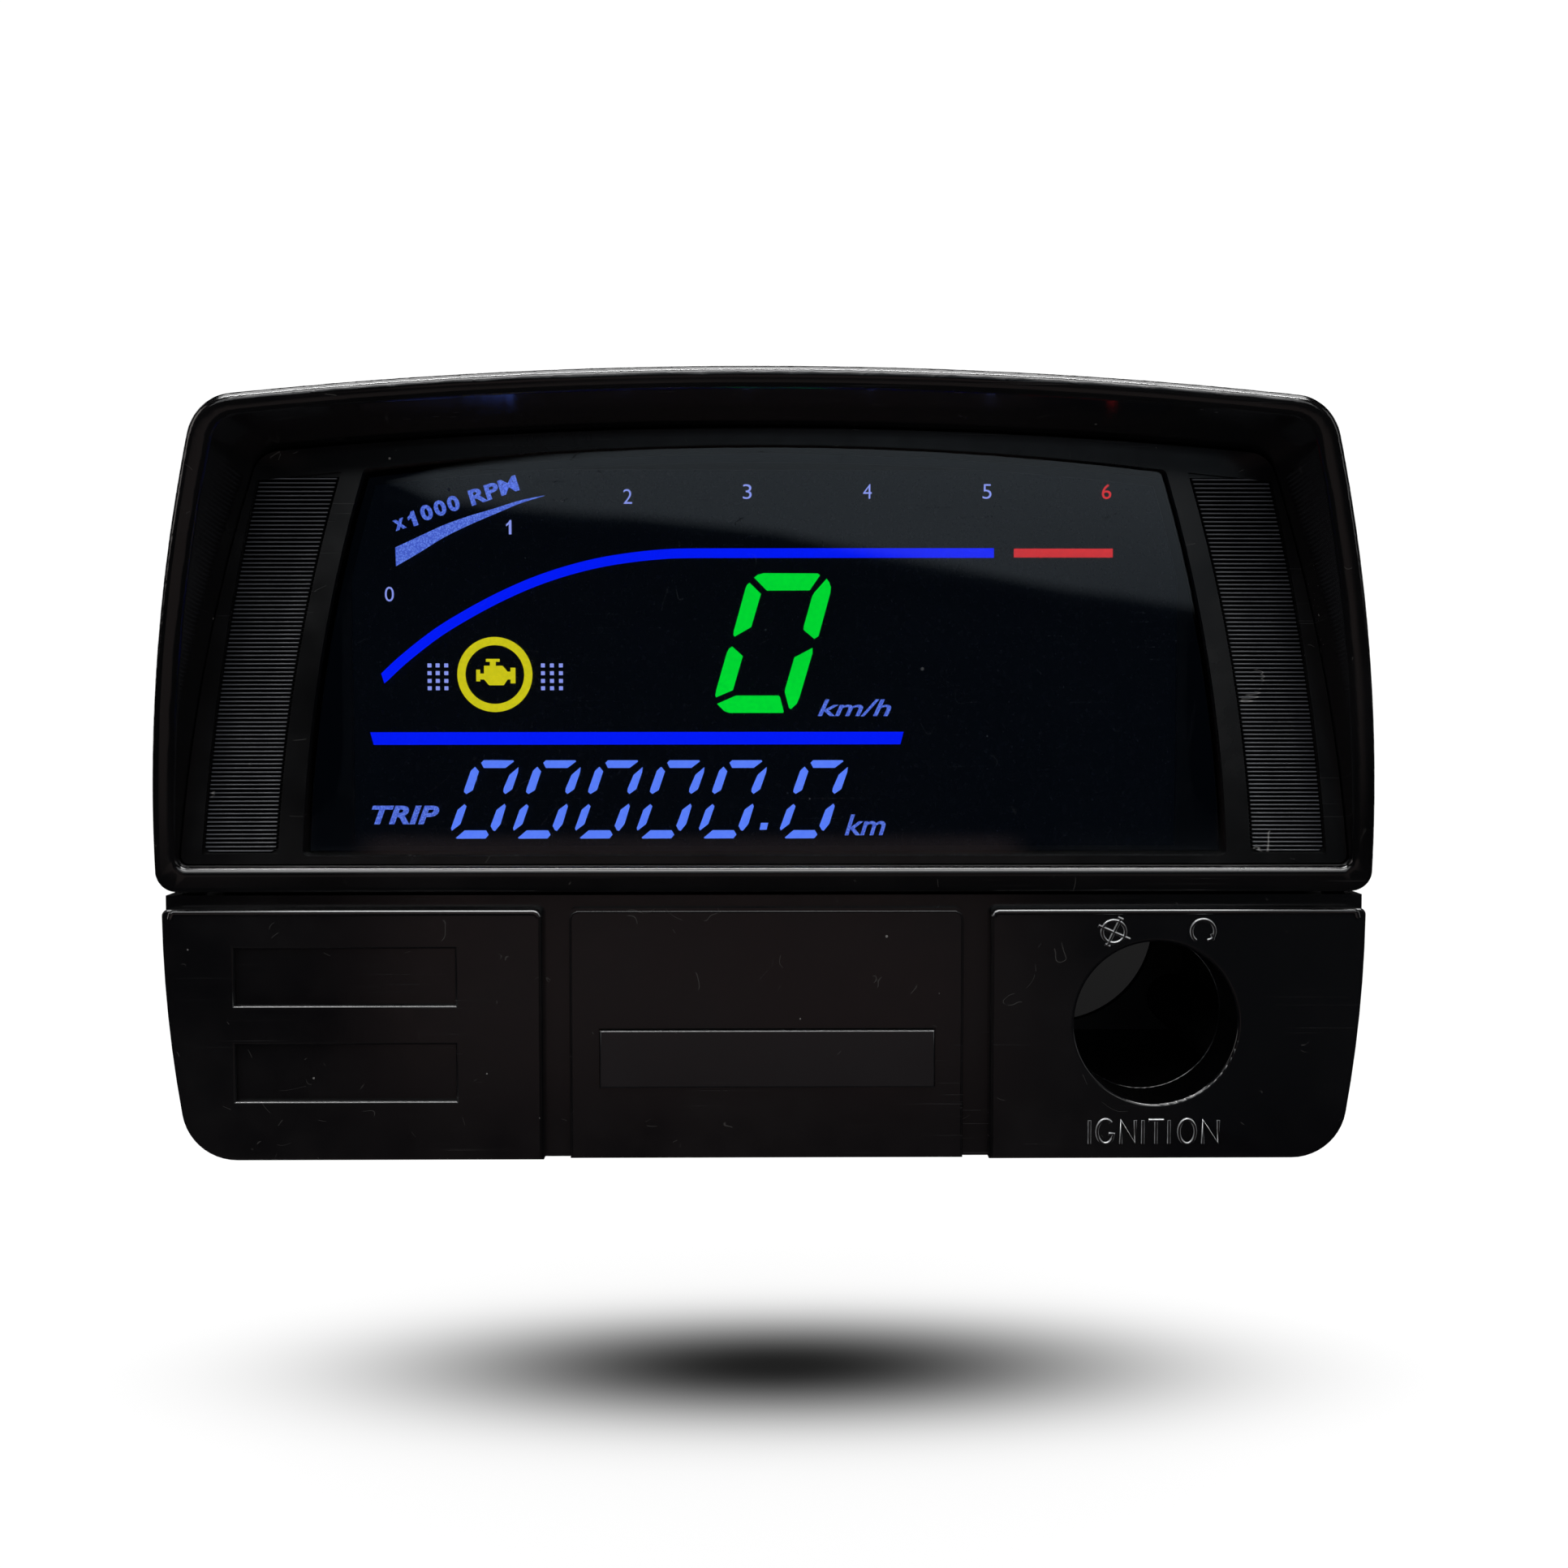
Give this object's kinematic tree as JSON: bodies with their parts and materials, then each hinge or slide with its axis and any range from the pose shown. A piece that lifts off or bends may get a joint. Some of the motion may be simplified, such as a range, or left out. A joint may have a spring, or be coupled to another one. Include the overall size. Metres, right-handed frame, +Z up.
{
  "type": "instrument cluster",
  "caption": "Hooded rectangular motorcycle instrument cluster: smoked segment display, ribbed side fields, lower fascia with an ignition-lock bore, fixed by rear studs.",
  "frame": {"origin": "centre of the mounting stud pattern, on the plane where the rubber dampers meet the bracket", "axes": "+X to the rider's right, +Y forward and away from the rider along the studs, +Z up; the display faces -Y"},
  "size_m": [0.1646, 0.1154, 0.1096],
  "materials": {
    "gloss_black": "high-gloss moulded ABS",
    "satin_black": "fine-textured moulded ABS",
    "bezel_black": "semi-gloss moulded ABS with fine ribs",
    "smoked_window": "hard-coated smoked acrylic",
    "clear_glass": "polished",
    "dark_film": "smooth film",
    "colour_print": "printed film",
    "white_plastic": "satin",
    "led_white": "satin",
    "elastomer": "matt",
    "board_green": "solder mask",
    "component_black": "matt epoxy",
    "capacitor_sleeve": "shrunk sleeve",
    "zinc_steel": "bright zinc plate",
    "die_cast": "as cast and turned",
    "bronze": "sintered",
    "magnet_grey": "ground ferrite",
    "black_rubber": "matt",
    "knob_black": "satin",
    "cable_jacket": "PVC sleeve",
    "connector_ivory": "satin nylon",
    "tinned_brass": "tinned"
  },
  "bodies": {
    "housing": {"hood_case": "gloss_black", "lower_fascia": "gloss_black", "badge_plate": "gloss_black", "rear_case": "satin_black", "inner_bezel": "bezel_black", "display_lens": "smoked_window", "mask_film": "dark_film", "lens_gasket": "black_rubber", "lcd_holder": "component_black", "front_polariser": "dark_film", "lcd_front_glass": "clear_glass", "lcd_rear_glass": "clear_glass", "rear_polariser": "dark_film", "colour_film": "colour_print", "diffuser_sheet": "white_plastic", "backlight_tray": "white_plastic", "backlight_leds": "led_white", "elastomer_strips": "elastomer", "main_pcb": "board_green", "microcontroller": "component_black", "voltage_regulator": "component_black", "filter_capacitors": "capacitor_sleeve", "board_header": "connector_ivory", "header_pins": "tinned_brass", "case_screws": "zinc_steel", "fascia_screws": "zinc_steel", "board_screws": "zinc_steel", "bezel_screws": "zinc_steel", "cable_collar": "die_cast", "collar_screws": "zinc_steel", "shaft_bush": "bronze", "thrust_washer": "zinc_steel", "sensor_board": "board_green", "sensor_screws": "zinc_steel", "hall_sensor": "component_black", "reset_switch_body": "knob_black", "reset_nut": "zinc_steel", "reset_spring": "zinc_steel", "cable_grommet": "black_rubber", "harness_cable": "cable_jacket", "harness_plug": "connector_ivory", "plug_terminals": "tinned_brass", "mounting_studs": "zinc_steel", "stud_dampers": "black_rubber"},
    "input_shaft": {"drive_shaft": "zinc_steel", "magnet_rotor": "magnet_grey", "shaft_clip": "zinc_steel"},
    "reset_knob": {"reset_button": "knob_black"}
  },
  "joints": [
    {"name": "drive_spin", "type": "hinge", "parent": "housing", "child": "input_shaft", "pos_m": [0, -0.008, -0.017], "axis": [0, 1, 0], "continuous": true},
    {"name": "reset_press", "type": "slide", "parent": "housing", "child": "reset_knob", "axis": [0, 0, 1], "range_m": [0, 0.0018], "stiffness_N_per_m": 350, "springref_m": -0.002, "deforming": ["reset_spring"]}
  ]
}
